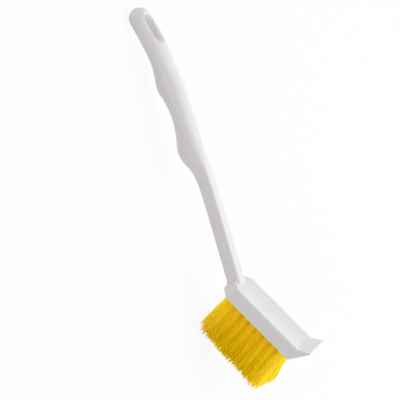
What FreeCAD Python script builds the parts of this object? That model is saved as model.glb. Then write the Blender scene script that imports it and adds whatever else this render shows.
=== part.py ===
import FreeCAD, Part
import math
import os

# One-piece moulded dish brush: a rectangular tufted head with a scraper lip, a slim neck, and a
# grip with two finger bumps and a hang hole. Bundles of bristles, folded over flat wire anchors,
# fill the head's holes. Sizes are in millimetres and angles in degrees.
#
# Everything is drawn in the head's own frame: X runs towards the scraper lip, Y across the head,
# Z out of the head's back, and the bristle face is Z = 0. The last step turns the finished brush
# to the way it lies on a table, on its rear bristle tips and the end of its handle.

Vector = FreeCAD.Vector

# Head block
HEAD_WIDTH = 31.5
HEAD_HEIGHT = 11.4
FACE_LENGTH = 62.7             # bristle face, between its front and rear corners
REAR_LEAN = 2.7                # the head's rear end leans forward by this much, face to back
TAIL_LENGTH = 6.3              # the narrowing tail behind the rear corners
TAIL_WIDTH_FACE = 12.5         # width of the tail's end at the bristle face
TAIL_WIDTH_BACK = 16.0         # and at the head's back
CORNER_ROUNDING = 2.5          # upright corners at the rear
BACK_ROUNDING = 1.6            # edge round the head's back
FACE_ROUNDING = 0.4            # edge round the bristle face and the lip

# Dished back of the head, and the scraper lip in front of it
DISH_DEPTH = 0.9
DISH_RIM = 0.5                 # flat rim left along each side of the dish
CREASE_FORWARD = 1.0           # the lip starts this far in front of the face's front corner
LIP_REACH = 7.4
LIP_RISE = 4.8
LIP_EDGE = 1.0                 # thickness of the scraping edge
CREASE_RADIUS = 4.0

# Handle: the back of the neck is a straight line, the back of the grip two long arcs
NECK_ANGLE = 31.5
NECK_START = -31.0             # where the neck's back leaves the head's back
NECK_LENGTH = 80.7
WEB_RADIUS = 3.0               # fillet in the corner between the tail's end and the neck
WEB_WIDTH = 9.6                # a little narrower than the neck
NECK_BACK_RADIUS = 1.0         # fillet where the neck's back meets the head's back
FORE_LENGTH = 48.0             # the gentler arc, next to the neck
FORE_RADIUS = 1580.0
REAR_RADIUS = 300.0            # the tighter arc, from there to the tip
GRIP_LENGTH = 132.2            # along the back, from the neck to the tip

# Sizes of the handle's sections: distance from the start of the grip (the neck is negative),
# depth, width and squareness, where 2 is an ellipse and larger is nearer to a rectangle
HANDLE_SIZES = [
    (-82.5, 10.3, 11.4, 9.0),
    (-70.0, 10.0, 11.2, 9.0),
    (-50.0, 10.0, 11.1, 9.0),
    (-30.0, 10.0, 11.0, 9.0),
    (-15.0, 10.2, 11.2, 8.0),
    (0.0, 11.1, 12.8, 5.5),
    (8.0, 13.4, 15.6, 3.8),
    (15.0, 17.3, 18.4, 2.8),
    (22.5, 18.9, 20.6, 2.4),
    (31.0, 17.2, 22.0, 2.2),
    (39.0, 15.6, 22.6, 2.2),
    (47.0, 15.0, 22.8, 2.2),
    (55.0, 15.6, 22.8, 2.2),
    (62.5, 16.9, 22.6, 2.2),
    (70.0, 18.5, 22.4, 2.2),
    (77.5, 17.3, 22.2, 2.2),
    (86.0, 15.3, 22.0, 2.2),
    (95.0, 14.4, 21.8, 2.2),
    (104.0, 14.3, 21.6, 2.2),
    (113.0, 14.2, 21.4, 2.2),
    (122.0, 14.1, 21.2, 2.2),
]
SECTION_STEP = 5.0             # spacing of the sections along the handle
SECTION_POINTS = 24            # points round each section
TIP_ROUND_DEPTH = 8.6          # length over which the tip rounds off in side view
TIP_ROUND_WIDTH = 11.0         # and in plan
TIP_STEPS = [11.0, 8.0, 5.2, 3.0, 1.4, 0.45, 0.06]

# Hang hole, a long hole through the handle's end
HANG_WIDTH = 12.4
HANG_LENGTH = 22.6
HANG_TO_TIP = 18.6             # from the hole's centre to the tip, along the back
HANG_BEVEL = 1.9               # the hole opens out by this much at the handle's surface
HANG_BEVEL_DEPTH = 2.2

# Tufts: rows run along the head, and every other row is shifted by half a pitch
ROWS = 4
COLUMNS = 8
ROW_PITCH = 7.4
COLUMN_PITCH = 7.1
FIELD_SHIFT = -1.4             # the field of holes sits slightly towards the handle
HOLE_RADIUS = 2.8
HOLE_DEPTH = 8.0
TUFT_PLAY = 0.1                # between a tuft's foot and the wall of its hole
ROOT_OVERLAP = 0.3             # the free part of a tuft starts this deep in its hole
TUFT_ROOT_RADIUS = 2.45        # radius of the free part at its root and at its tip
TUFT_TIP_RADIUS = 3.7
TRIM_LENGTH = 35.5             # free length of the bristles at the middle of the head
TRIM_SLOPE = 2.2               # the trimmed tips slope by this angle, longer towards the front
MIDDLE_LEAN_ANGLE = 3.6        # lean of the middle tufts towards the scraper
FRONT_LEAN_ANGLE = 1.0         # lean of the foremost tufts, in the first row
ROW_LEAN_ANGLE = 2.6           # and how much more they lean in each row after it
OUTER_LEAN_ANGLE = 5.5         # outward lean of the outer rows

# Anchors: short pieces of flat wire that hold the folded tufts in their holes
ANCHOR_LENGTH = 6.4
ANCHOR_HEIGHT = 2.0
ANCHOR_THICKNESS = 0.5
FOLD_THICKNESS = 1.2           # bristle between the anchor and the bottom of the hole

# Working sizes
MARGIN = 1.0                   # extra length of cutters and overlaps
TINY = 0.01
MESH_STEP = 0.1                # fineness of the points that find the resting tilt
TILT_STEPS = 40


def follow_arc(point, along, up, length, radius):
    """Move along an arc that curves down; give the new point, direction and normal."""
    turn = length / radius
    moved = point + along * (radius * math.sin(turn)) - up * (radius * (1 - math.cos(turn)))
    new_along = along * math.cos(turn) - up * math.sin(turn)
    new_up = up * math.cos(turn) + along * math.sin(turn)
    return moved, new_along, new_up


def back_line(distance):
    """Point on the handle's back, the direction towards the tip there, and the normal."""
    angle = math.radians(NECK_ANGLE)
    along = Vector(-math.cos(angle), 0, math.sin(angle))
    up = Vector(math.sin(angle), 0, math.cos(angle))
    start = Vector(NECK_START, 0, HEAD_HEIGHT) + along * NECK_LENGTH
    if distance <= 0:
        return start + along * distance, along, up
    if distance <= FORE_LENGTH:
        return follow_arc(start, along, up, distance, FORE_RADIUS)
    fore_end = follow_arc(start, along, up, FORE_LENGTH, FORE_RADIUS)
    return follow_arc(*fore_end, distance - FORE_LENGTH, REAR_RADIUS)


def signed_power(value, exponent):
    return math.copysign(abs(value) ** exponent, value)


def handle_section(distance, centre_depth, depth, width, squareness):
    """Closed outline across the handle, its centre at a given depth below the back line."""
    point, along, up = back_line(distance)
    centre = point - up * centre_depth
    outline = []
    for step in range(SECTION_POINTS):
        angle = 2 * math.pi * step / SECTION_POINTS
        across = width / 2 * signed_power(math.cos(angle), 2 / squareness)
        rise = depth / 2 * signed_power(math.sin(angle), 2 / squareness)
        outline.append(centre + Vector(0, across, 0) + up * rise)
    curve = Part.BSplineCurve()
    curve.interpolate(Points=outline, PeriodicFlag=True)
    return Part.Wire([curve.toShape()])


def rounding(distance, length):
    """Size of a rounded end as a fraction of the full size, at a distance from the tip."""
    return math.sqrt(1 - (1 - min(distance / length, 1)) ** 2)


def handle_sizes():
    """Depth, width and squareness as one smooth curve along the handle."""
    sizes = Part.BSplineCurve()
    sizes.interpolate(Points=[Vector(*row[1:]) for row in HANDLE_SIZES],
                      Parameters=[row[0] for row in HANDLE_SIZES])
    return sizes


def handle():
    """Neck and grip as one lofted solid, with its foot inside the head."""
    sizes = handle_sizes()
    first = HANDLE_SIZES[0][0]
    last = HANDLE_SIZES[-1][0]
    count = round((last - first) / SECTION_STEP)
    sections = []
    for index in range(count):
        distance = first + (last - first) * index / count
        depth, width, squareness = sizes.value(distance)
        sections.append(handle_section(distance, depth / 2, depth, width, squareness))
    depth, width, squareness = sizes.value(last)
    for to_tip in TIP_STEPS:
        sections.append(handle_section(GRIP_LENGTH - to_tip, depth / 2,
                                       depth * rounding(to_tip, TIP_ROUND_DEPTH),
                                       width * rounding(to_tip, TIP_ROUND_WIDTH), squareness))
    return Part.makeLoft(sections, True, False)


def stadium(length, width, height):
    """Outline of a long hole, round at both ends, in the plane Z = height."""
    reach = (length - width) / 2
    half = width / 2
    upper = Part.LineSegment(Vector(-reach, half, height), Vector(reach, half, height))
    nose = Part.Arc(Vector(reach, half, height), Vector(reach + half, 0, height),
                    Vector(reach, -half, height))
    lower = Part.LineSegment(Vector(reach, -half, height), Vector(-reach, -half, height))
    tail = Part.Arc(Vector(-reach, -half, height), Vector(-reach - half, 0, height),
                    Vector(-reach, half, height))
    return Part.Wire([piece.toShape() for piece in (upper, nose, lower, tail)])


def hang_frame():
    """Placement of the hang hole: its centre inside the grip, Z out of the handle's back."""
    point, along, up = back_line(GRIP_LENGTH - HANG_TO_TIP)
    depth = handle_sizes().value(GRIP_LENGTH - HANG_TO_TIP)[0]
    turn = FreeCAD.Rotation(Vector(0, 1, 0), math.degrees(math.atan2(up.x, up.z)))
    return FreeCAD.Placement(point - up * (depth / 2), turn), depth


def hang_hole():
    """Cutter for the hang hole, with a bevel that opens out at both surfaces."""
    frame, depth = hang_frame()
    half = depth / 2
    cutter = Part.makeLoft([stadium(HANG_LENGTH, HANG_WIDTH, -half - MARGIN),
                            stadium(HANG_LENGTH, HANG_WIDTH, half + MARGIN)], True, True)
    for side in (-1, 1):
        spread = 2 * HANG_BEVEL * (HANG_BEVEL_DEPTH + MARGIN) / HANG_BEVEL_DEPTH
        inner = stadium(HANG_LENGTH, HANG_WIDTH, side * (half - HANG_BEVEL_DEPTH))
        outer = stadium(HANG_LENGTH + spread, HANG_WIDTH + spread, side * (half + MARGIN))
        cutter = cutter.fuse(Part.makeLoft([inner, outer], True, True))
    cutter.Placement = frame
    return cutter


def head_profile():
    """Side view of the head with its scraper lip, as a solid slab across the brush."""
    front = FACE_LENGTH / 2
    crease = front + CREASE_FORWARD
    lip_slope = math.atan2(LIP_RISE, LIP_REACH)
    lip_top = Vector(crease + LIP_REACH, 0, HEAD_HEIGHT + LIP_RISE)
    lip_under = lip_top + Vector(math.sin(lip_slope), 0, -math.cos(lip_slope)) * LIP_EDGE
    rear = -front - TAIL_LENGTH - MARGIN
    outline = [Vector(rear, 0, 0), Vector(front, 0, 0), lip_under, lip_top,
               Vector(crease, 0, HEAD_HEIGHT), Vector(rear, 0, HEAD_HEIGHT)]
    face = Part.Face(Part.makePolygon(outline + outline[:1]))
    face.translate(Vector(0, -HEAD_WIDTH / 2, 0))
    return face.extrude(Vector(0, HEAD_WIDTH, 0))


def plan_outline(height):
    """Outline of the head from above: a rectangle with a narrowing tail, at one height."""
    part_way = height / HEAD_HEIGHT
    corner = -FACE_LENGTH / 2 + REAR_LEAN * part_way
    tail = corner - TAIL_LENGTH
    tail_half = (TAIL_WIDTH_FACE + (TAIL_WIDTH_BACK - TAIL_WIDTH_FACE) * part_way) / 2
    half = HEAD_WIDTH / 2
    side = [Vector(FACE_LENGTH, half, height), Vector(corner, half, height),
            Vector(tail, tail_half, height)]
    other_side = [Vector(point.x, -point.y, height) for point in reversed(side)]
    return Part.makePolygon(side + other_side + side[:1])


def head_blank():
    """Head block with its tapered tail and scraper lip, its edges eased."""
    outlines = [plan_outline(-MARGIN), plan_outline(HEAD_HEIGHT + 2 * LIP_RISE)]
    plan = Part.makeLoft(outlines, True, True)
    block = head_profile().common(plan).removeSplitter()
    corners = [edge for edge in block.Edges
               if edge.CenterOfMass.x < -FACE_LENGTH / 3
               and MARGIN < edge.CenterOfMass.z < HEAD_HEIGHT - MARGIN]
    block = block.makeFillet(CORNER_ROUNDING, corners)
    back_edges = [edge for edge in block.Edges
                  if abs(edge.CenterOfMass.z - HEAD_HEIGHT) < TINY
                  and edge.CenterOfMass.x < FACE_LENGTH / 2 - CREASE_RADIUS]
    block = block.makeFillet(BACK_ROUNDING, back_edges)
    lip_start = FACE_LENGTH / 2 + CREASE_FORWARD + TINY
    face_edges = [edge for edge in block.Edges
                  if edge.CenterOfMass.z < TINY or edge.CenterOfMass.x > lip_start]
    return block.makeFillet(FACE_ROUNDING, face_edges)


def dish():
    """Cutter for the shallow hollow along the head's back, which ends against the lip."""
    half = HEAD_WIDTH / 2 - DISH_RIM
    radius = (half ** 2 + DISH_DEPTH ** 2) / (2 * DISH_DEPTH)
    axis_height = HEAD_HEIGHT + radius - DISH_DEPTH
    round_side = Part.makeCylinder(radius, 2 * FACE_LENGTH, Vector(-FACE_LENGTH, 0, axis_height),
                                   Vector(1, 0, 0))
    size = 2 * FACE_LENGTH
    above_lip = Part.makeBox(size, HEAD_WIDTH, size, Vector(-size / 2, -HEAD_WIDTH / 2, 0))
    lip_angle = math.degrees(math.atan2(LIP_RISE, LIP_REACH))
    above_lip.rotate(Vector(0, 0, 0), Vector(0, 1, 0), -lip_angle)
    above_lip.translate(Vector(FACE_LENGTH / 2 + CREASE_FORWARD, 0, HEAD_HEIGHT))
    hollow = round_side.common(above_lip)
    crease_edges = [edge for edge in hollow.Edges
                    if edge.CenterOfMass.x > 0 and abs(edge.CenterOfMass.y) < TINY
                    and edge.CenterOfMass.z < HEAD_HEIGHT + MARGIN]
    return hollow.makeFillet(CREASE_RADIUS, crease_edges)


def tuft_places():
    """Row, column, hole centre and slope of each tuft; rows are numbered from the -Y side."""
    places = []
    for row in range(ROWS):
        across = (row - (ROWS - 1) / 2) * ROW_PITCH
        stagger = COLUMN_PITCH / 4 * (1 if row % 2 == 0 else -1)
        side_lean = OUTER_LEAN_ANGLE * (row - (ROWS - 1) / 2) / ((ROWS - 1) / 2)
        for column in range(COLUMNS):
            along = FIELD_SHIFT + stagger + (column - (COLUMNS - 1) / 2) * COLUMN_PITCH
            share = 0.5 + along / (COLUMNS * COLUMN_PITCH)
            lean = ((FRONT_LEAN_ANGLE + ROW_LEAN_ANGLE * row) * share
                    + MIDDLE_LEAN_ANGLE * 4 * share * (1 - share))
            slope = Vector(math.tan(math.radians(lean)), math.tan(math.radians(side_lean)), -1)
            places.append((row, column, Vector(along, across, 0), slope))
    return places


def anchor(centre):
    """One flat wire anchor, lying along the row, deep in a hole."""
    height = HOLE_DEPTH - FOLD_THICKNESS - ANCHOR_HEIGHT
    corner = centre + Vector(-ANCHOR_LENGTH / 2, -ANCHOR_THICKNESS / 2, height)
    return Part.makeBox(ANCHOR_LENGTH, ANCHOR_THICKNESS, ANCHOR_HEIGHT, corner)


def tuft(centre, slope):
    """One folded bundle: a foot in its hole, round the anchor, and a spreading free part."""
    foot = Part.makeCylinder(HOLE_RADIUS - TUFT_PLAY, HOLE_DEPTH, centre)
    reach = TRIM_LENGTH + 2 * TUFT_TIP_RADIUS
    end_radius = TUFT_ROOT_RADIUS + (TUFT_TIP_RADIUS - TUFT_ROOT_RADIUS) * reach / TRIM_LENGTH
    brush = Part.makeCone(TUFT_ROOT_RADIUS, end_radius, reach, centre - slope * ROOT_OVERLAP, slope)
    return foot.fuse(brush.cut(trimmed_space())).cut(anchor(centre))


def trimmed_space():
    """Everything beyond the sloping plane that the bristles are cut to."""
    size = 2 * FACE_LENGTH
    space = Part.makeBox(size, size, size, Vector(-size / 2, -size / 2, -size))
    space.rotate(Vector(0, 0, 0), Vector(0, 1, 0), TRIM_SLOPE)
    space.translate(Vector(0, 0, -TRIM_LENGTH))
    return space


def root_fillet():
    """Small web that rounds the corner between the tail's end and the neck's underside."""
    tail_end = Vector(-FACE_LENGTH / 2 - TAIL_LENGTH, 0, 0)
    tail_up = Vector(REAR_LEAN, 0, HEAD_HEIGHT).normalize()
    point, along, up = back_line(HANDLE_SIZES[0][0])
    under = point - up * HANDLE_SIZES[0][1]
    to_tail = tail_end - under
    reach = to_tail.cross(tail_up).y / along.cross(tail_up).y
    corner = under + along * reach
    half_angle = (-tail_up).getAngle(along) / 2
    side = WEB_RADIUS / math.tan(half_angle)
    middle = (along - tail_up).normalize() * WEB_RADIUS * (1 / math.sin(half_angle) - 1)
    low, high = corner - tail_up * side, corner + along * side
    inside = corner + (tail_up - along).normalize() * MARGIN
    edges = [Part.Arc(low, corner + middle, high).toShape(), Part.makeLine(high, inside),
             Part.makeLine(inside, low)]
    web = Part.Face(Part.Wire(edges))
    web.translate(Vector(0, -WEB_WIDTH / 2, 0))
    return web.extrude(Vector(0, WEB_WIDTH, 0))


def brush_body():
    """The one-piece moulding, with its hang hole, tuft holes and the anchors' slots."""
    body = head_blank().cut(dish()).fuse(handle())
    root = Vector(NECK_START, 0, HEAD_HEIGHT)
    root_edge = min(body.Edges, key=lambda edge: edge.CenterOfMass.distanceToPoint(root))
    body = body.makeFillet(NECK_BACK_RADIUS, [root_edge])
    body = body.fuse(root_fillet()).cut(hang_hole())
    holes = []
    for _, _, centre, _ in tuft_places():
        start = centre - Vector(0, 0, MARGIN)
        holes.append(Part.makeCylinder(HOLE_RADIUS, HOLE_DEPTH + MARGIN, start))
        holes.append(anchor(centre))
    return body.cut(Part.makeCompound(holes))


def rest_tilt(nodes):
    """Nose-up tilt at which the rear bristle tips and the grip's end stand equally low."""
    body = nodes["brush_body"].tessellate(MESH_STEP)[0]
    grip = [point for point in body if point.x < -FACE_LENGTH]
    tips = []
    for row in range(1, ROWS + 1):
        tips += nodes[f"tuft_r{row}_c1"].tessellate(MESH_STEP)[0]
    low, high = math.radians(20), math.radians(50)
    for _ in range(TILT_STEPS):
        tilt = (low + high) / 2
        grip_low = min(point.z * math.cos(tilt) + point.x * math.sin(tilt) for point in grip)
        tips_low = min(point.z * math.cos(tilt) + point.x * math.sin(tilt) for point in tips)
        if grip_low > tips_low:
            low = tilt
        else:
            high = tilt
    return math.degrees(tilt)


def main():
    os.makedirs("parts", exist_ok=True)
    nodes = {"brush_body": brush_body()}
    anchors = {}
    for row, column, centre, slope in tuft_places():
        nodes[f"tuft_r{row + 1}_c{column + 1}"] = tuft(centre, slope)
        anchors.setdefault(f"anchors_row_{row + 1}", []).append(anchor(centre))
    for name, pieces in anchors.items():
        nodes[name] = Part.makeCompound(pieces)

    tilt = rest_tilt(nodes)
    for shape in nodes.values():
        shape.rotate(Vector(0, 0, 0), Vector(0, 1, 0), -tilt)
    points = [point for shape in nodes.values() for point in shape.tessellate(MESH_STEP)[0]]
    left = min(point.x for point in points)
    right = max(point.x for point in points)
    shift = Vector(-(left + right) / 2, 0, -min(point.z for point in points))
    for name, shape in nodes.items():
        shape.translate(shift)
        shape.exportStep(f"parts/{name}.step")
    print("tilt", round(tilt, 3), "shift", shift, "length", round(right - left, 2))


main()
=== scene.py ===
"""Looks of a moulded dish brush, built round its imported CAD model.

The CAD model holds the moulding, the tufts' outlines and the anchors. This script keeps the
moulding and the anchors, gives them their finishes, and puts bundles of real filaments in place
of the tufts. Lengths are in metres and angles in degrees. Seen from above, azimuth 0 is towards
the scraper lip and 90 towards the far side.
"""
import logging
import math
from dataclasses import dataclass
from enum import Enum
from typing import ClassVar

import bpy
import numpy as np
from mathutils import Matrix, Vector


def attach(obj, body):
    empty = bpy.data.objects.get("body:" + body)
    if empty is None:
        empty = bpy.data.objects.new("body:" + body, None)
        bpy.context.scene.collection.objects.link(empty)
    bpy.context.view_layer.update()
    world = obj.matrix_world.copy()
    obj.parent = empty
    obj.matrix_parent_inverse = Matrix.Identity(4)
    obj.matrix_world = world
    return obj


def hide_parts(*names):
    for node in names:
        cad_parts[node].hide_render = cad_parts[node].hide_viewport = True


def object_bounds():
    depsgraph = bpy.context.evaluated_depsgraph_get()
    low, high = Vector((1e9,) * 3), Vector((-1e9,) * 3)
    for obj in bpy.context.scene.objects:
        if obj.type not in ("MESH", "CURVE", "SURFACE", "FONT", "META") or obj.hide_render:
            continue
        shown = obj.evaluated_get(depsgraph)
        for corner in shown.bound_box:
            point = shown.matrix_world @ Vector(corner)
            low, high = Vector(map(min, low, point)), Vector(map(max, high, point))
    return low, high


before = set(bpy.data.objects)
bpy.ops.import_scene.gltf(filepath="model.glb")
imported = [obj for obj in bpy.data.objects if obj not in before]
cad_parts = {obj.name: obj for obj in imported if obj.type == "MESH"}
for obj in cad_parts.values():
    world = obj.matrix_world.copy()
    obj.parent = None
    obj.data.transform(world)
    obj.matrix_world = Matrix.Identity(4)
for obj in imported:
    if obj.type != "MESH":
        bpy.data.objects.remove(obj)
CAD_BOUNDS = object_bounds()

MM = 0.001
BODY = "root"
LOG = logging.getLogger("dish_brush")

Triple = tuple[float, float, float]
Pair = tuple[float, float]


class Slot(Enum):
    """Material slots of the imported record."""

    MOULDING = "body"
    BRISTLE = "bristle"
    ANCHOR = "anchor"


# ---------------------------------------------------------------- node trees


class Link:
    """A node socket that takes part in Python arithmetic."""

    def __init__(self, graph: "Graph", socket: bpy.types.NodeSocket, vector: bool = False) -> None:
        """Wraps a socket.

        Args:
            graph: The tree that new nodes go into.
            socket: The output socket to read.
            vector: True if it carries a vector or a colour, and False for anything else.
        """
        self.graph = graph
        self.socket = socket
        self.vector = vector

    @staticmethod
    def _is_vector(value: "Link | float") -> bool:
        """True for a link that carries a vector or a colour."""
        return isinstance(value, Link) and value.vector

    def _join(self, operation: str, first: "Link | float", second: "Link | float") -> "Link":
        """Adds one Math or Vector Math node.

        Args:
            operation: What the node does.
            first: The value on the left.
            second: The value on the right.

        Returns:
            The node's result.
        """
        if self._is_vector(first) or self._is_vector(second):
            return self.graph.vector_math(operation, first, second)
        return self.graph.math(operation, first, second)

    def __add__(self, other: "Link | float") -> "Link":
        """Sum."""
        return self._join("ADD", self, other)

    def __radd__(self, other: "Link | float") -> "Link":
        """Sum, with the socket on the right."""
        return self._join("ADD", other, self)

    def __sub__(self, other: "Link | float") -> "Link":
        """Difference."""
        return self._join("SUBTRACT", self, other)

    def __rsub__(self, other: "Link | float") -> "Link":
        """Difference, with the socket on the right."""
        return self._join("SUBTRACT", other, self)

    def __mul__(self, other: "Link | float") -> "Link":
        """Product; a vector times a number is scaled.

        Args:
            other: The value on the right.

        Returns:
            The node's result.
        """
        if self.vector and not self._is_vector(other):
            return self.graph.scale(self, other)
        if self._is_vector(other) and not self.vector:
            return self.graph.scale(other, self)
        return self._join("MULTIPLY", self, other)

    def __rmul__(self, other: "Link | float") -> "Link":
        """Product, with the socket on the right."""
        return self.__mul__(other)

    def __truediv__(self, other: "Link | float") -> "Link":
        """Quotient."""
        return self._join("DIVIDE", self, other)

    def __rtruediv__(self, other: "Link | float") -> "Link":
        """Quotient, with the socket on the right."""
        return self._join("DIVIDE", other, self)

    def __pow__(self, other: "Link | float") -> "Link":
        """Power."""
        return self._join("POWER", self, other)


class Graph:
    """Adds nodes to one shader or geometry tree."""

    def __init__(self, tree: bpy.types.NodeTree) -> None:
        """Starts on a node tree."""
        self.tree = tree

    def node(self, kind: str, settings: dict | None = None,
             inputs: dict | None = None) -> bpy.types.Node:
        """Adds one node, sets it up, then fills its sockets.

        Args:
            kind: The node's type name.
            settings: Values of the node's own properties, such as an operation.
            inputs: Values or links by the socket's place, identifier or name.

        Returns:
            The new node.
        """
        node = self.tree.nodes.new(kind)
        for name, value in (settings or {}).items():
            setattr(node, name, value)
        for key, value in (inputs or {}).items():
            self.feed(self._socket(node, key), value)
        return node

    def result(self, kind: str, settings: dict | None = None, inputs: dict | None = None,
               vector: bool = False) -> Link:
        """Adds one node, as node() does, and reads the first of its outputs that are in use."""
        node = self.node(kind, settings, inputs)
        return Link(self, next(socket for socket in node.outputs if socket.enabled), vector)

    @staticmethod
    def _socket(node: bpy.types.Node, key: str | int) -> bpy.types.NodeSocket:
        """Finds an input socket.

        Args:
            node: The node.
            key: The socket's place, identifier or name.

        Returns:
            The socket; of those that share a name, the one in use.
        """
        if isinstance(key, int):
            return node.inputs[key]
        for socket in node.inputs:
            if socket.identifier == key:
                return socket
        return next(socket for socket in node.inputs if socket.name == key and socket.enabled)

    def feed(self, socket: bpy.types.NodeSocket, value: object) -> None:
        """Fills an input socket.

        Args:
            socket: The socket.
            value: A link to join it to, or a plain value to set.
        """
        if isinstance(value, Link):
            self.tree.links.new(value.socket, socket)
        else:
            socket.default_value = value

    def math(self, operation: str, *values: "Link | float") -> Link:
        """Adds a Math node."""
        return self.result("ShaderNodeMath", {"operation": operation}, dict(enumerate(values)))

    def vector_math(self, operation: str, *values: "Link | tuple") -> Link:
        """Adds a Vector Math node that gives a vector."""
        return self.result("ShaderNodeVectorMath", {"operation": operation},
                           dict(enumerate(values)), vector=True)

    def scale(self, vector: Link, factor: "Link | float") -> Link:
        """Adds a Vector Math node that scales a vector."""
        return self.result("ShaderNodeVectorMath", {"operation": "SCALE"},
                           {0: vector, "Scale": factor}, vector=True)

    def length(self, vector: Link) -> Link:
        """Adds a Vector Math node that measures a vector."""
        return self.result("ShaderNodeVectorMath", {"operation": "LENGTH"}, {0: vector})

    def combine(self, x: "Link | float", y: "Link | float", z: "Link | float") -> Link:
        """Makes a vector of three numbers."""
        return self.result("ShaderNodeCombineXYZ", inputs={"X": x, "Y": y, "Z": z}, vector=True)

    def separate(self, vector: Link) -> tuple[Link, Link, Link]:
        """Splits a vector into its three numbers."""
        node = self.node("ShaderNodeSeparateXYZ", inputs={0: vector})
        return tuple(Link(self, output) for output in node.outputs)

    def showing_rays(self) -> Link:
        """Picks the rays that show the surroundings: seen directly, mirrored, or through glass.

        Returns:
            A number that is 1 for those rays and 0 for the ones that only bring light.
        """
        path = self.node("ShaderNodeLightPath")
        camera, glossy, through = (
            Link(self, path.outputs[f"Is {kind} Ray"])
            for kind in ("Camera", "Glossy", "Transmission"))
        return self.math("MAXIMUM", self.math("MAXIMUM", camera, glossy), through)


@dataclass(frozen=True)
class Pattern:
    """A noise pattern: how wide its features are, and how many finer layers it has."""

    size: float
    detail: float


@dataclass(frozen=True)
class Relief:
    """How high a pattern stands as a bump, and how much of that bump shows."""

    height: float
    strength: float


class Shading(Graph):
    """Adds nodes to one material's tree."""

    def __init__(self, name: str) -> None:
        """Starts an empty material.

        Args:
            name: The material's name.
        """
        self.material = bpy.data.materials.new(name)
        self.material.use_nodes = True
        super().__init__(self.material.node_tree)
        self.tree.nodes.clear()

    def place(self) -> Link:
        """Object coordinates."""
        return Link(self, self.node("ShaderNodeTexCoord").outputs["Object"], vector=True)

    def attribute(self, name: str) -> Link:
        """A number stored on the mesh."""
        node = self.node("ShaderNodeAttribute", {"attribute_name": name})
        return Link(self, node.outputs["Fac"])

    def noise(self, place: Link, pattern: Pattern) -> Link:
        """A noise number round 0.5."""
        return self.result("ShaderNodeTexNoise", inputs={
            "Vector": place, "Scale": 1.0 / pattern.size, "Detail": pattern.detail})

    def mix(self, share: "Link | float", first: "Link | tuple", second: "Link | tuple") -> Link:
        """Mixes two colours."""
        return self.result("ShaderNodeMix", {"data_type": "RGBA"}, {
            "Factor_Float": share, "A_Color": first, "B_Color": second}, vector=True)

    def clamp(self, value: Link) -> Link:
        """Keeps a number between 0 and 1."""
        return self.result("ShaderNodeClamp", inputs={"Value": value, "Min": 0.0, "Max": 1.0})

    def spread(self, value: Link, low: float, high: float) -> Link:
        """Stretches a number so that low becomes 0 and high becomes 1, without passing them."""
        return self.result("ShaderNodeMapRange", {"clamp": True}, {
            "Value": value, "From Min": low, "From Max": high, "To Min": 0.0, "To Max": 1.0})

    def bump(self, pattern: Link, relief: Relief, normal: Link | None = None) -> Link:
        """Turns a pattern into a bumped normal.

        Args:
            pattern: The height, from 0 to 1.
            relief: How far it stands up.
            normal: A normal that is bumped already, to add this bump to.

        Returns:
            The normal.
        """
        inputs = {"Height": pattern, "Distance": relief.height, "Strength": relief.strength}
        if normal is not None:
            inputs["Normal"] = normal
        return self.result("ShaderNodeBump", inputs=inputs, vector=True)

    def principled(self, inputs: dict) -> Link:
        """Adds the main shader."""
        return self.result("ShaderNodeBsdfPrincipled", inputs=inputs)

    def finish(self, shader: Link) -> bpy.types.Material:
        """Links the output and returns the material."""
        self.node("ShaderNodeOutputMaterial", inputs={"Surface": shader})
        return self.material


# ------------------------------------------------------------------ finishes


def rgb(red: float, green: float, blue: float) -> tuple[float, float, float, float]:
    """A linear colour with full alpha."""
    return (red, green, blue, 1.0)


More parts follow.
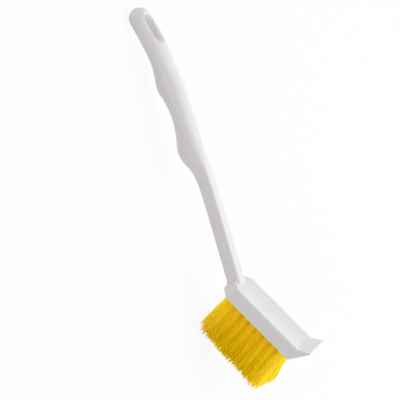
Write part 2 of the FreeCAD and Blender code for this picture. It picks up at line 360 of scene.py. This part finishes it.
@dataclass(frozen=True)
class SatinPlastic:
    """White moulded plastic with a satin skin, faint cloudiness and fine handling marks.

    The wall of the hang hole and the slim scraper lip are painted paler. This is painted light that
    stands in for light reaching into the hole and soaking through the lip.
    """

    name: str = "satin_white_plastic"
    light: Triple = (0.715, 0.707, 0.703)
    shade: Triple = (0.695, 0.686, 0.681)
    # colour painted on the hole's wall and the lip as painted light
    painted_light: Triple = (0.92, 0.91, 0.905)
    cloud: Pattern = Pattern(30.0 * MM, detail=3.0)
    cloud_limits: Pair = (0.35, 0.65)
    marks: Pattern = Pattern(6.0 * MM, detail=4.0)
    ripple: Pattern = Pattern(11.0 * MM, detail=1.0)
    ripple_relief: Relief = Relief(0.08 * MM, strength=0.5)
    grain: Pattern = Pattern(0.6 * MM, detail=2.0)
    grain_relief: Relief = Relief(0.01 * MM, strength=0.6)
    roughness: float = 0.44
    cloud_roughness: float = 0.10
    mark_roughness: float = 0.12
    ior: float = 1.49
    hole_middle: Triple = (-126.62 * MM, 0.0, 10.25 * MM)
    hole_slope: float = 17.537
    hole_width: float = 12.4 * MM
    hole_length: float = 22.6 * MM
    hole_rim: float = 1.2 * MM
    lip_share: float = 0.5
    lip_slope: float = 34.768
    lip_start: float = 135.0 * MM
    lip_fade: float = 3.0 * MM
    lip_half_width: float = 15.6 * MM
    side_fade: float = 0.4 * MM

    def build(self) -> bpy.types.Material:
        """Makes the material.

        Returns:
            The finished material.
        """
        s = Shading(self.name)
        place = s.place()
        cloud, marks = s.noise(place, self.cloud), s.noise(place, self.marks)
        colour = s.mix(s.spread(cloud, *self.cloud_limits), rgb(*self.light), rgb(*self.shade))
        # painted light: the wall of the hang hole and the scraper lip are painted paler
        painted_light = s.clamp(self._near_hole(s, place) + self._on_lip(s, place))
        colour = s.mix(painted_light, colour, rgb(*self.painted_light))
        rough = (self.roughness + (cloud - 0.5) * self.cloud_roughness
                 + (marks - 0.5) * self.mark_roughness)
        normal = s.bump(s.noise(place, self.ripple), self.ripple_relief)
        normal = s.bump(s.noise(place, self.grain), self.grain_relief, normal)
        return s.finish(s.principled({
            "Base Color": colour, "Roughness": rough, "Normal": normal, "IOR": self.ior}))

    def _near_hole(self, s: Shading, place: Link) -> Link:
        """Finds the wall of the hang hole.

        Args:
            s: The material's tree.
            place: Object coordinates.

        Returns:
            A number that is 1 on the hole's wall and 0 outside its rim.
        """
        x, y, z = s.separate(place)
        slope = math.radians(self.hole_slope)
        along = ((x - self.hole_middle[0]) * math.cos(slope)
                 + (z - self.hole_middle[2]) * math.sin(slope))
        straight = (self.hole_length - self.hole_width) / 2
        past = s.math("MAXIMUM", s.math("ABSOLUTE", along) - straight, 0.0)
        away = s.math("SQRT", past * past + y * y)
        wall = self.hole_width / 2
        return 1.0 - s.spread(away, wall, wall + self.hole_rim)

    def _on_lip(self, s: Shading, place: Link) -> Link:
        """Finds the slim scraper lip, short of the flat sides of the head.

        Args:
            s: The material's tree.
            place: Object coordinates.

        Returns:
            A number that is lip_share on the lip and 0 elsewhere.
        """
        x, y, z = s.separate(place)
        slope = math.radians(self.lip_slope)
        forward = x * math.cos(slope) + z * math.sin(slope)
        side = self.lip_half_width
        inside = 1.0 - s.spread(s.math("ABSOLUTE", y), side - self.side_fade, side)
        flare = s.spread(forward, self.lip_start, self.lip_start + self.lip_fade)
        return flare * inside * self.lip_share


@dataclass(frozen=True)
class YellowFilament:
    """Extruded yellow filament: golden, with painted light in lemon at the brush's ends and tips.

    Deep in the brush, near the fold, it is painted paler as painted light. The glow is a painted
    glow that stands for light soaking through the filaments at both ends of the brush and at the
    fold.
    """

    name: str = "yellow_filament"
    deep: Triple = (0.98, 0.63, 0.000)
    main: Triple = (0.98, 0.71, 0.000)
    # lemon of the painted highlight at the brush's ends and tips
    painted_lit_lemon: Triple = (1.00, 0.88, 0.045)
    # colour of the painted light deep in the brush near the fold
    pale: Triple = (1.00, 0.70, 0.070)
    edge_share: float = 0.9
    tip_share: float = 0.45
    tip_start: float = 0.86
    fold_share: float = 0.6
    fold_length: float = 0.9
    # strengths of the painted glow near the fold and at the brush's ends
    fold_glow: float = 0.36
    edge_glow: float = 0.22
    glow: float = 0.5
    streak: Pattern = Pattern(1.2 * MM, detail=1.0)
    roughness: float = 0.38
    streak_roughness: float = 0.2
    ior: float = 1.5
    shine: float = 0.05

    def build(self) -> bpy.types.Material:
        """Makes the material.

        Returns:
            The finished material.
        """
        s = Shading(self.name)
        along, edge = s.attribute("along"), s.attribute("edge")
        colour = s.mix(s.attribute("tone"), rgb(*self.deep), rgb(*self.main))
        # painted light: lemon highlight painted at both ends of the brush
        colour = s.mix(edge * self.edge_share, colour, rgb(*self.painted_lit_lemon))
        # painted light: lemon highlight painted on the tips
        tip = s.spread(along, self.tip_start, 1.0)
        colour = s.mix(tip * self.tip_share, colour, rgb(*self.painted_lit_lemon))
        # painted light: paler colour painted deep in the brush near the fold
        near_fold = 1.0 - s.spread(along, 0.0, self.fold_length)
        fold = near_fold * s.attribute("inner") * self.fold_share
        colour = s.mix(fold, colour, rgb(*self.pale))
        # painted glow: emission near the fold and at the brush's ends, where there is no lamp
        painted_glow = s.clamp(fold * self.fold_glow + edge * self.edge_glow)
        streak = s.noise(s.place(), self.streak)
        return s.finish(s.principled({
            "Base Color": colour,
            "Roughness": self.roughness + (streak - 0.5) * self.streak_roughness,
            "IOR": self.ior, "Specular IOR Level": self.shine,
            "Emission Color": colour * painted_glow, "Emission Strength": self.glow}))


@dataclass(frozen=True)
class FlatWire:
    """Rolled flat wire: bright metal with fine lines."""

    name: str = "flat_wire"
    light: Triple = (0.62, 0.61, 0.59)
    shade: Triple = (0.45, 0.44, 0.42)
    stain: Pattern = Pattern(4.0 * MM, detail=2.0)
    lines: Pattern = Pattern(0.25 * MM, detail=2.0)
    line_relief: Relief = Relief(0.02 * MM, strength=0.6)
    roughness: float = 0.36
    line_roughness: float = 0.2

    def build(self) -> bpy.types.Material:
        """Makes the material.

        Returns:
            The finished material.
        """
        s = Shading(self.name)
        place = s.place()
        lines = s.noise(place, self.lines)
        return s.finish(s.principled({
            "Base Color": s.mix(s.noise(place, self.stain), rgb(*self.light), rgb(*self.shade)),
            "Metallic": 1.0,
            "Roughness": self.roughness + (lines - 0.5) * self.line_roughness,
            "Normal": s.bump(lines, self.line_relief)}))


@dataclass(frozen=True)
class PaleFloor:
    """Plain pale floor that the camera sees as white, with the object's faint shadow."""

    name: str = "pale_floor"
    colour: Triple = (0.80, 0.775, 0.768)
    shadow_share: float = 0.08

    def build(self) -> bpy.types.Material:
        """Makes the material.

        Returns:
            The finished material.
        """
        s = Shading(self.name)
        plain = s.result("ShaderNodeBsdfDiffuse", inputs={"Color": rgb(*self.colour)})
        white = s.result("ShaderNodeEmission", inputs={"Color": rgb(1, 1, 1), "Strength": 1.0})
        share = s.showing_rays() * (1.0 - self.shadow_share)
        return s.finish(s.result("ShaderNodeMixShader", inputs={0: share, 1: plain, 2: white}))


# -------------------------------------------------------------------- pieces


def add_object(name: str, data: bpy.types.ID) -> bpy.types.Object:
    """Adds an object to the scene.

    Args:
        name: The object's name.
        data: Its mesh, lamp or camera.

    Returns:
        The object.
    """
    thing = bpy.data.objects.new(name, data)
    bpy.context.scene.collection.objects.link(thing)
    return thing


def dress(node: bpy.types.Object, material: bpy.types.Material) -> None:
    """Gives a mesh one material, in place of any that it had."""
    node.data.materials.clear()
    node.data.materials.append(material)


def mesh_points(node: bpy.types.Object) -> np.ndarray:
    """Reads all vertices of a mesh.

    Args:
        node: The mesh's object.

    Returns:
        One row for each vertex.
    """
    points = np.empty(len(node.data.vertices) * 3)
    node.data.vertices.foreach_get("co", points)
    return points.reshape(-1, 3)


def middle(points: np.ndarray) -> np.ndarray:
    """Centre of the box round some points."""
    return (points.min(axis=0) + points.max(axis=0)) / 2


@dataclass(frozen=True)
class HeadFrame:
    """Directions of the tufted head in the row frame."""

    forward: Vector
    across: Vector
    up: Vector

    @classmethod
    def from_anchors(cls, anchors: bpy.types.Object) -> "HeadFrame":
        """Finds the head's directions from a row of anchors.

        Args:
            anchors: The CAD node of one row, which lies along the head.

        Returns:
            The head's frame.
        """
        points = mesh_points(anchors)
        spread = points - points.mean(axis=0)
        _, _, directions = np.linalg.svd(spread, full_matrices=False)
        longest = directions[0]
        forward = Vector(longest * np.sign(longest[0])).normalized()
        across = Vector((0.0, 1.0, 0.0))
        return cls(forward, across, forward.cross(across).normalized())

    def matrix(self) -> np.ndarray:
        """Rows that turn a point of the row frame into forward, across and up."""
        return np.array([self.forward, self.across, self.up])


@dataclass(frozen=True)
class TuftLine:
    """Centre line of one tuft's free part, from the bristle face to the trimmed tip.

    The two ends of the CAD tuft are the slices of its mesh within foot_slice of its top and
    tip_slice of its bottom, which slopes.
    """

    root: Vector
    tip: Vector

    foot_slice: ClassVar[float] = 0.1 * MM
    tip_slice: ClassVar[float] = 0.45 * MM

    @classmethod
    def from_node(cls, node: bpy.types.Object, head: HeadFrame, hole_depth: float) -> "TuftLine":
        """Reads a tuft's line from its CAD node.

        Args:
            node: The tuft's CAD node.
            head: The head's directions.
            hole_depth: Depth of the hole that the tuft's foot fills.

        Returns:
            The tuft's centre line.
        """
        turn = head.matrix()
        points = mesh_points(node) @ turn.T
        height = points[:, 2]
        foot = middle(points[height > height.max() - cls.foot_slice])
        root = np.array([foot[0], foot[1], height.max() - hole_depth])
        tip = middle(points[height < height.min() + cls.tip_slice])
        return cls(Vector(root @ turn), Vector(tip @ turn))


class Growth(Graph):
    """Adds nodes to the geometry tree that grows filaments."""

    seeds_per_tuft: ClassVar[float] = 10.0

    def random(self, kind: str, seed: Link, turn: int, limits: dict) -> Link:
        """Draws a random number or vector for each point.

        Args:
            kind: FLOAT for a number, FLOAT_VECTOR for a vector.
            seed: The tuft's own number.
            turn: Which of the tuft's draws this is.
            limits: The least and the greatest value, by the sockets' identifiers.

        Returns:
            The value.
        """
        return self.result("FunctionNodeRandomValue", {"data_type": kind}, {
            **limits, "Seed": seed * self.seeds_per_tuft + float(turn)},
            vector=kind == "FLOAT_VECTOR")

    def chance(self, seed: Link, turn: int) -> Link:
        """A random number from 0 to 1 for each point."""
        return self.random("FLOAT", seed, turn, {"Min_001": 0.0, "Max_001": 1.0})

    def drift(self, seed: Link, turn: int) -> Link:
        """A random vector for each point: X and Y from -1 to 1, and Z 0."""
        return self.random("FLOAT_VECTOR", seed, turn, {
            "Min": (-1.0, -1.0, 0.0), "Max": (1.0, 1.0, 0.0)})

    def store(self, geometry: Link, name: str, kind: str, value: "Link | float") -> Link:
        """Stores an attribute on the points."""
        return self.result("GeometryNodeStoreNamedAttribute", {"data_type": kind}, {
            "Geometry": geometry, "Name": name, "Value": value})

    def stored(self, name: str, kind: str) -> Link:
        """Reads an attribute that was stored on the points."""
        return self.result("GeometryNodeInputNamedAttribute", {"data_type": kind},
                           {"Name": name}, vector=kind == "FLOAT_VECTOR")

    def part(self) -> Link:
        """How far along its curve a point is, from 0 to 1."""
        return Link(self, self.node("GeometryNodeSplineParameter").outputs["Factor"])

    def move(self, geometry: Link, place: Link) -> Link:
        """Puts every point in its place."""
        return self.result("GeometryNodeSetPosition", inputs={
            "Geometry": geometry, "Position": place})

    def sweep(self, curve: Link, sides: int, radius: "Link | float", scale: "Link | float") -> Link:
        """Makes closed rods along curves.

        Args:
            curve: The curves.
            sides: Number of flat sides of a rod.
            radius: Radius of the rods.
            scale: A further factor on the radius, which may change along a curve.

        Returns:
            The mesh of the rods.
        """
        profile = self.result("GeometryNodeCurvePrimitiveCircle", inputs={
            "Resolution": sides, "Radius": radius})
        return self.result("GeometryNodeCurveToMesh", inputs={
            "Curve": curve, "Profile Curve": profile, "Fill Caps": True, "Scale": scale})

    def join(self, *pieces: Link) -> Link:
        """Joins pieces of geometry.

        Args:
            pieces: The pieces, in order.

        Returns:
            All of them as one.
        """
        node = self.node("GeometryNodeJoinGeometry")
        for piece in pieces:
            self.feed(node.inputs["Geometry"], piece)
        return Link(self, node.outputs["Geometry"])


@dataclass
class FilamentTree:
    """Geometry tree that grows one tuft.

    Its filaments stand packed in a disc, spread below it and gather in clumps at their tips. A
    clump is shorter by chance, by up to the input Ragged, and each filament in it by up to
    own_ragged of that again. The core narrows towards its end, later where core_taper is
    larger, and core_least keeps it from closing to a point.
    """

    name: str = "tuft_of_filaments"
    sides: int = 6
    steps: int = 8
    core_sides: int = 10
    core_taper: float = 3.0
    core_least: float = 0.001
    own_ragged: float = 0.6
    golden_angle: float = 2.39996323

    INPUTS: ClassVar[dict[str, tuple[str, ...]]] = {
        "Int": ("Filaments", "Seed"),
        "Vector": ("Root", "Tip", "Forward", "Across", "Up"),
        "Float": ("Root Radius", "Tip Along", "Tip Across", "Squareness", "Spread Power",
                  "Filament Radius", "Depth", "Core Width", "Core Length", "Trim Slope",
                  "Clump Size", "Clumping", "Clump Point", "Stray", "Ragged", "Floor"),
        "Material": ("Material",)}

    def build(self) -> bpy.types.NodeTree:
        """Makes the tree.

        Returns:
            The geometry node group.
        """
        tree = bpy.data.node_groups.new(self.name, "GeometryNodeTree")
        tree.interface.new_socket("Geometry", in_out="OUTPUT", socket_type="NodeSocketGeometry")
        for kind, names in self.INPUTS.items():
            for name in names:
                tree.interface.new_socket(name, in_out="INPUT", socket_type=f"NodeSocket{kind}")
        g = Growth(tree)
        value = {socket.name: Link(g, socket, vector=socket.type == "VECTOR")
                 for socket in g.node("NodeGroupInput").outputs if socket.name}

        line = g.result("GeometryNodeCurvePrimitiveLine")
        line = g.result("GeometryNodeResampleCurve", inputs={"Curve": line, "Count": self.steps})
        curves = g.result("GeometryNodeInstanceOnPoints", inputs={
            "Points": self._scatter(g, value), "Instance": line})
        curves = g.result("GeometryNodeRealizeInstances", inputs={"Geometry": curves})
        curves = self._shape(g, curves, value)
        filaments = g.sweep(curves, self.sides, value["Filament Radius"], 1.0)
        mesh = g.join(filaments, self._core(g, line, value))
        mesh = g.result("GeometryNodeSetShadeSmooth", inputs={
            "Geometry": mesh, "Shade Smooth": False})
        mesh = g.result("GeometryNodeRealizeInstances", inputs={"Geometry": mesh})
        mesh = g.result("GeometryNodeSetMaterial", inputs={
            "Geometry": mesh, "Material": value["Material"]})
        g.node("NodeGroupOutput", inputs={"Geometry": mesh})
        return tree

    def _scatter(self, g: Growth, value: dict[str, Link]) -> Link:
        """Places the filaments in the bundle, at the root and at the tips.

        Args:
            g: The tree.
            value: The tree's inputs by name.

        Returns:
            A point for each filament. It stores where the filament starts and where it ends up,
            how much shorter than the longest it is, and its tone.
        """
        seed = value["Seed"]
        points = g.result("GeometryNodePoints", inputs={"Count": value["Filaments"]})
        index = g.result("GeometryNodeInputIndex")
        ring = g.math("SQRT", (index + 0.5) / value["Filaments"])
        angle = index * self.golden_angle + seed
        side_x, side_y = g.math("COSINE", angle), g.math("SINE", angle)
        start = g.combine(side_x, side_y, 0.0) * (ring * value["Root Radius"])

        power = value["Squareness"]
        corner = g.math("ABSOLUTE", side_x) ** power + g.math("ABSOLUTE", side_y) ** power
        reach = ring * corner ** (-1.0 / power)
        spread = g.combine(side_x * reach * value["Tip Along"],
                           side_y * reach * value["Tip Across"], 0.0)
        spread = spread + g.drift(seed, 1) * value["Stray"]
        cells = g.node("ShaderNodeTexVoronoi", {"voronoi_dimensions": "3D"}, {
            "Vector": spread + g.combine(0.0, 0.0, seed),
            "Scale": 1.0 / value["Clump Size"], "Randomness": 1.0})
        cell_x, cell_y, _ = g.separate(Link(g, cells.outputs["Position"], vector=True))
        cell_length, _, _ = g.separate(Link(g, cells.outputs["Color"], vector=True))
        to_cell = g.combine(cell_x, cell_y, 0.0) - spread
        gathered = spread + to_cell * value["Clumping"]
        shorter = (g.length(to_cell) * value["Clump Point"] + cell_length * value["Ragged"]
                   + g.chance(seed, 2) * value["Ragged"] * self.own_ragged)

        for name, kind, field in (("start", "FLOAT_VECTOR", start),
                                  ("gathered", "FLOAT_VECTOR", gathered),
                                  ("shorter", "FLOAT", shorter),
                                  ("tone", "FLOAT", g.chance(seed, 3))):
            points = g.store(points, name, kind, field)
        return points

    def _core(self, g: Growth, line: Link, value: dict[str, Link]) -> Link:
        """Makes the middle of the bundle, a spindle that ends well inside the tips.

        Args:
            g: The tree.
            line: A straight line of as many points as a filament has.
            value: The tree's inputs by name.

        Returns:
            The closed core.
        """
        part = g.part()
        share = part * value["Core Length"]
        root = value["Root Radius"]
        spread = root + (value["Tip Along"] - root) * share ** value["Spread Power"]
        taper = g.math("MAXIMUM", 1.0 - part ** self.core_taper, self.core_least)
        place = value["Root"] + (value["Tip"] - value["Root"]) * share
        line = g.store(g.move(line, place), "along", "FLOAT", share)
        line = g.store(line, "tone", "FLOAT", 0.5)
        return g.sweep(line, self.core_sides, 1.0,
                       spread * g.math("SQRT", taper) * value["Core Width"])

    def _shape(self, g: Growth, curves: Link, value: dict[str, Link]) -> Link:
        """Bends the straight lines into filaments, from inside the hole to the trimmed tips.

        Args:
            g: The tree.
            curves: The lines, one for each filament.
            value: The tree's inputs by name.

        Returns:
            The curves in place.
        """
        start, gathered = g.stored("start", "FLOAT_VECTOR"), g.stored("gathered", "FLOAT_VECTOR")
        gathered_x, _, _ = g.separate(gathered)
        way = value["Tip"] - value["Root"]
        full = g.length(way)
        free = full + gathered_x * value["Trim Slope"] - g.stored("shorter", "FLOAT")
        run = g.part() * (free + value["Depth"]) - value["Depth"]
        share = g.math("MAXIMUM", run / full, 0.0)
        offset = start + (gathered - start) * share ** value["Spread Power"]
        offset_x, offset_y, _ = g.separate(offset)
        centre = value["Root"] + way * share - value["Up"] * g.math("MINIMUM", run, 0.0)
        place = centre + value["Forward"] * offset_x + value["Across"] * offset_y
        x, y, z = g.separate(place)
        place = g.combine(x, y, g.math("MAXIMUM", z, value["Floor"]))
        return g.move(g.store(curves, "along", "FLOAT", share), place)


@dataclass
class BristleField:
    """All the tufts: each CAD tuft is replaced by a bundle of separate filaments.

    A bundle starts round and ends tip_along by tip_across in half widths, squarer as squareness
    grows. A small spread_power spreads it early, close to the root. Its core takes up
    core_width of its width and core_length of its length. Filaments get longer towards the
    front by trim_slope, and the outer ones of a clump are shorter by clump_point of their
    distance from its middle. None goes below the height floor. The last tuft of a row that ends
    further back leans forward by front_lean of the distance. The painted light at the brush's
    ends, a lemon highlight and a glow, fades inwards over about edge_fade.
    """

    rows: int = 4
    columns: int = 8
    filaments: int = 200
    filament_radius: float = 0.18 * MM
    root_radius: float = 2.62 * MM
    tip_along: float = 4.2 * MM
    tip_across: float = 4.25 * MM
    squareness: float = 5.0
    spread_power: float = 0.18
    core_width: float = 0.92
    core_length: float = 0.90
    hole_depth: float = 8.0 * MM
    foot_depth: float = 6.0 * MM
    trim_slope: float = 0.038
    clump_size: float = 2.2 * MM
    clumping: float = 0.35
    clump_point: float = 1.4
    stray: float = 0.5 * MM
    ragged: float = 2.0 * MM
    floor: float = 0.18 * MM
    edge_fade: float = 4.0 * MM
    front_lean: float = 1.0
    seeds_per_row: int = 100

    def build(self, head: HeadFrame, material: bpy.types.Material) -> list[bpy.types.Object]:
        """Grows every tuft.

        Args:
            head: The head's directions.
            material: The filaments' finish.

        Returns:
            One piece for each tuft.
        """
        tree = FilamentTree().build()
        lines = {(row, column): TuftLine.from_node(
                     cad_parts[f"tuft_r{row}_c{column}"], head, self.hole_depth)
                 for row in range(1, self.rows + 1) for column in range(1, self.columns + 1)}
        reach = [line.root.dot(head.forward) for line in lines.values()]
        ends = (min(reach) - self.root_radius, max(reach) + self.root_radius)
        pieces = []
        for (row, column), line in lines.items():
            along = line.root.dot(head.forward)
            at_front = column == self.columns
            lean = (max(reach) - along) * self.front_lean if at_front else 0.0
            values = self._values(head, line, lean, material, row * self.seeds_per_row + column)
            piece = self._grow(tree, f"tuft_r{row}_c{column}", values)
            self._mark(piece.data, row, column, along + lean, ends)
            pieces.append(piece)
        return pieces

    def _mark(self, mesh: bpy.types.Mesh, row: int, column: int, along: float,
              ends: Pair) -> None:
        """Stores how near each filament is to the ends of the brush, and how deep in it.

        Args:
            mesh: The tuft's mesh; its attribute "start" is each filament's place in the bundle.
            row: The tuft's row, from 1.
            column: The tuft's column, from 1.
            along: Place of the tuft's middle along the head.
            ends: Where the bristles begin and end along the head.
        """
        starts = np.empty(len(mesh.vertices) * 3, np.float32)
        mesh.attributes["start"].data.foreach_get("vector", starts)
        starts = starts.reshape(-1, 3)
        place = along + starts[:, 0]
        # nearness to the brush's ends, which the material turns into painted light
        edge = np.exp(-np.minimum(place - ends[0], ends[1] - place) / self.edge_fade)
        skin = np.full(len(starts), -1.0)
        for outermost, axis, sign in ((row == 1, 1, -1), (row == self.rows, 1, 1),
                                      (column == 1, 0, -1), (column == self.columns, 0, 1)):
            if outermost:
                skin = np.maximum(skin, sign * starts[:, axis] / self.root_radius)
        # edge and inner place the filaments' painted light, at the brush's ends and deep near the
        # fold
        for name, numbers in (("edge", edge), ("inner", 0.5 - 0.5 * skin)):
            attribute = mesh.attributes.new(name, "FLOAT", "POINT")
            numbers = np.clip(numbers, 0.0, 1.0).astype(np.float32)
            attribute.data.foreach_set("value", numbers)
        for name in ("start", "gathered", "shorter"):
            mesh.attributes.remove(mesh.attributes[name])

    def _values(self, head: HeadFrame, line: TuftLine, lean: float,
                material: bpy.types.Material, seed: int) -> dict[str, object]:
        """Gives the tree's inputs for one tuft.

        Args:
            head: The head's directions.
            line: The tuft's centre line in the CAD model.
            lean: How far the tip stands forward of that line.
            material: The filaments' finish.
            seed: Number that sets the tuft's chance choices.

        Returns:
            The values by name.
        """
        return {
            "Filaments": self.filaments, "Seed": seed,
            "Root": line.root, "Tip": line.tip + head.forward * lean,
            "Forward": head.forward, "Across": head.across, "Up": head.up,
            "Root Radius": self.root_radius,
            "Tip Along": self.tip_along, "Tip Across": self.tip_across,
            "Squareness": self.squareness, "Spread Power": self.spread_power,
            "Core Width": self.core_width, "Core Length": self.core_length,
            "Filament Radius": self.filament_radius, "Depth": self.foot_depth,
            "Trim Slope": self.trim_slope,
            "Clump Size": self.clump_size, "Clumping": self.clumping,
            "Clump Point": self.clump_point, "Stray": self.stray, "Ragged": self.ragged,
            "Floor": self.floor, "Material": material}

    @staticmethod
    def _grow(tree: bpy.types.NodeTree, node_name: str,
              values: dict[str, object]) -> bpy.types.Object:
        """Runs the tree once and keeps the result as a plain mesh.

        Args:
            tree: The geometry tree.
            node_name: The CAD tuft that the new piece stands for.
            values: The tree's inputs by name.

        Returns:
            The finished piece, on its body.
        """
        seedling = add_object(node_name + "_seed", bpy.data.meshes.new(node_name + "_seed"))
        modifier = seedling.modifiers.new("filaments", "NODES")
        modifier.node_group = tree
        for item in tree.interface.items_tree:
            if item.in_out == "INPUT":
                modifier[item.identifier] = values[item.name]
        shown = seedling.evaluated_get(bpy.context.evaluated_depsgraph_get())
        mesh = bpy.data.meshes.new_from_object(shown)
        seedling.modifiers.remove(modifier)
        bpy.data.objects.remove(seedling)
        piece = add_object("filaments_" + node_name.removeprefix("tuft_"), mesh)
        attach(piece, BODY)
        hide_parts(node_name)
        return piece


@dataclass
class Moulding:
    """The one-piece body, as the CAD model has it."""

    node: str = "brush_body"

    def build(self, material: bpy.types.Material) -> list[bpy.types.Object]:
        """Gives the CAD body its finish.

        Args:
            material: The plastic.

        Returns:
            The CAD body's object, alone in a list.
        """
        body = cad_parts[self.node]
        dress(body, material)
        return [body]


@dataclass
class Anchors:
    """The flat wire anchors, hidden in the tuft holes."""

    rows: int = 4

    def build(self, material: bpy.types.Material) -> list[bpy.types.Object]:
        """Gives the CAD anchors their finish.

        Args:
            material: The wire.

        Returns:
            The CAD objects, one for each row.
        """
        rows = []
        for row in range(1, self.rows + 1):
            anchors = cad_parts[f"anchors_row_{row}"]
            dress(anchors, material)
            rows.append(anchors)
        return rows


# --------------------------------------------------------------------- stage


@dataclass(frozen=True)
class Lamp:
    """One soft box: where it hangs as seen from the brush, its size and its strength."""

    name: str
    azimuth: float
    elevation: float
    size: float
    power: float
    tint: Triple = (1.0, 1.0, 1.0)
    distance: float = 1.6

    def hang(self, target: Vector) -> None:
        """Adds the lamp, aimed at the brush.

        Args:
            target: The point that it lights.
        """
        data = bpy.data.lights.new(self.name, "AREA")
        data.shape = "DISK"
        data.size = self.size
        data.energy = self.power
        data.color = self.tint
        lamp = add_object(self.name, data)
        side, rise = math.radians(self.azimuth), math.radians(self.elevation)
        away = Vector((math.cos(side) * math.cos(rise), math.sin(side) * math.cos(rise),
                       math.sin(rise)))
        lamp.location = target + away * self.distance
        lamp.rotation_mode = "QUATERNION"
        lamp.rotation_quaternion = away.to_track_quat("Z", "Y")


@dataclass(frozen=True)
class Viewpoint:
    """The camera, rolled so that the head points down to the right.

    Unlike a lamp's, its azimuth is 0 on the near side, where it looks along +Y.
    """

    azimuth: float = -10.133
    elevation: float = 23.508
    roll: float = 80.731
    distance: float = 1.49308
    target: Triple = (-0.000013, 0.0, 0.019761)
    lens: float = 186.975
    clip: Pair = (0.05, 50.0)

    def build(self) -> None:
        """Adds the camera and makes it the scene's own."""
        azimuth, elevation = math.radians(self.azimuth), math.radians(self.elevation)
        roll = math.radians(self.roll)
        back = Vector((math.sin(azimuth) * math.cos(elevation),
                       -math.cos(azimuth) * math.cos(elevation), math.sin(elevation)))
        level = Vector((math.cos(azimuth), math.sin(azimuth), 0.0))
        rise = back.cross(level)
        right = level * math.cos(roll) + rise * math.sin(roll)
        top = rise * math.cos(roll) - level * math.sin(roll)
        data = bpy.data.cameras.new("camera")
        data.lens = self.lens
        data.clip_start, data.clip_end = self.clip
        camera = add_object("camera", data)
        place = Matrix.Translation(Vector(self.target) + back * self.distance)
        camera.matrix_world = place @ Matrix((right, top, back)).transposed().to_4x4()
        bpy.context.scene.camera = camera


@dataclass(frozen=True)
class Studio:
    """Floor, soft light and the camera."""

    warm: ClassVar[Triple] = (1.0, 0.955, 0.945)
    cool: ClassVar[Triple] = (0.97, 0.985, 1.0)
    lamps: tuple[Lamp, ...] = (
        Lamp("top", azimuth=0.0, elevation=88.0, size=1.2, power=9.5, tint=cool),
        Lamp("far_high", azimuth=90.0, elevation=55.0, size=1.2, power=7.3, tint=cool),
        Lamp("far_nose", azimuth=45.0, elevation=40.0, size=1.2, power=5.5, tint=cool),
        Lamp("nose", azimuth=0.0, elevation=40.0, size=1.2, power=4.2),
        Lamp("far_tail", azimuth=135.0, elevation=35.0, size=1.2, power=1.8, tint=cool),
        Lamp("near_low", azimuth=-90.0, elevation=8.0, size=0.5, power=5.65, tint=warm),
        Lamp("tail_low", azimuth=180.0, elevation=10.0, size=0.5, power=4.3, tint=warm),
        Lamp("far_low", azimuth=90.0, elevation=12.0, size=0.5, power=1.75),
    )
    world_light: float = 0.25
    floor_size: float = 12.0

    def build(self) -> None:
        """Sets up everything round the object."""
        self._floor()
        self._world()
        middle_of_brush = (CAD_BOUNDS[0] + CAD_BOUNDS[1]) / 2
        for lamp in self.lamps:
            lamp.hang(middle_of_brush)
        Viewpoint().build()
        bpy.context.scene.view_settings.view_transform = "Standard"

    def _floor(self) -> None:
        """Adds the floor under the brush."""
        half = self.floor_size / 2
        corners = [(-half, -half, 0), (half, -half, 0), (half, half, 0), (-half, half, 0)]
        mesh = bpy.data.meshes.new("floor")
        mesh.from_pydata(corners, [], [(0, 1, 2, 3)])
        floor = add_object("floor", mesh)
        dress(floor, PaleFloor().build())

    def _world(self) -> None:
        """Sets the soft light from all round, which shows as white."""
        world = bpy.data.worlds.new("room")
        world.use_nodes = True
        world.node_tree.nodes.clear()
        g = Graph(world.node_tree)
        strength = g.showing_rays() * (1.0 - self.world_light) + self.world_light
        light = g.result("ShaderNodeBackground", inputs={
            "Color": rgb(1, 1, 1), "Strength": strength})
        g.node("ShaderNodeOutputWorld", inputs={"Surface": light})
        bpy.context.scene.world = world


def write_sizes() -> None:
    """Brings the scene up to date."""
    bpy.context.view_layer.update()


def report(kind: str, pieces: list[bpy.types.Object]) -> None:
    """Logs each piece of one sub-assembly."""
    for piece in pieces:
        LOG.info("%s: %s, %d faces", kind, piece.name, len(piece.data.polygons))


def main() -> None:
    """Builds the brush piece by piece, then its surroundings."""
    logging.basicConfig(level=logging.INFO, format="%(name)s: %(message)s")
    head = HeadFrame.from_anchors(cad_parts["anchors_row_1"])
    LOG.info("head: forward %s", tuple(round(x, 4) for x in head.forward))
    report("moulding", Moulding().build(SatinPlastic().build()))
    report("anchors", Anchors().build(FlatWire().build()))
    report("bristles", BristleField().build(head, YellowFilament().build()))
    Studio().build()
    write_sizes()


if __name__ == "__main__":
    main()
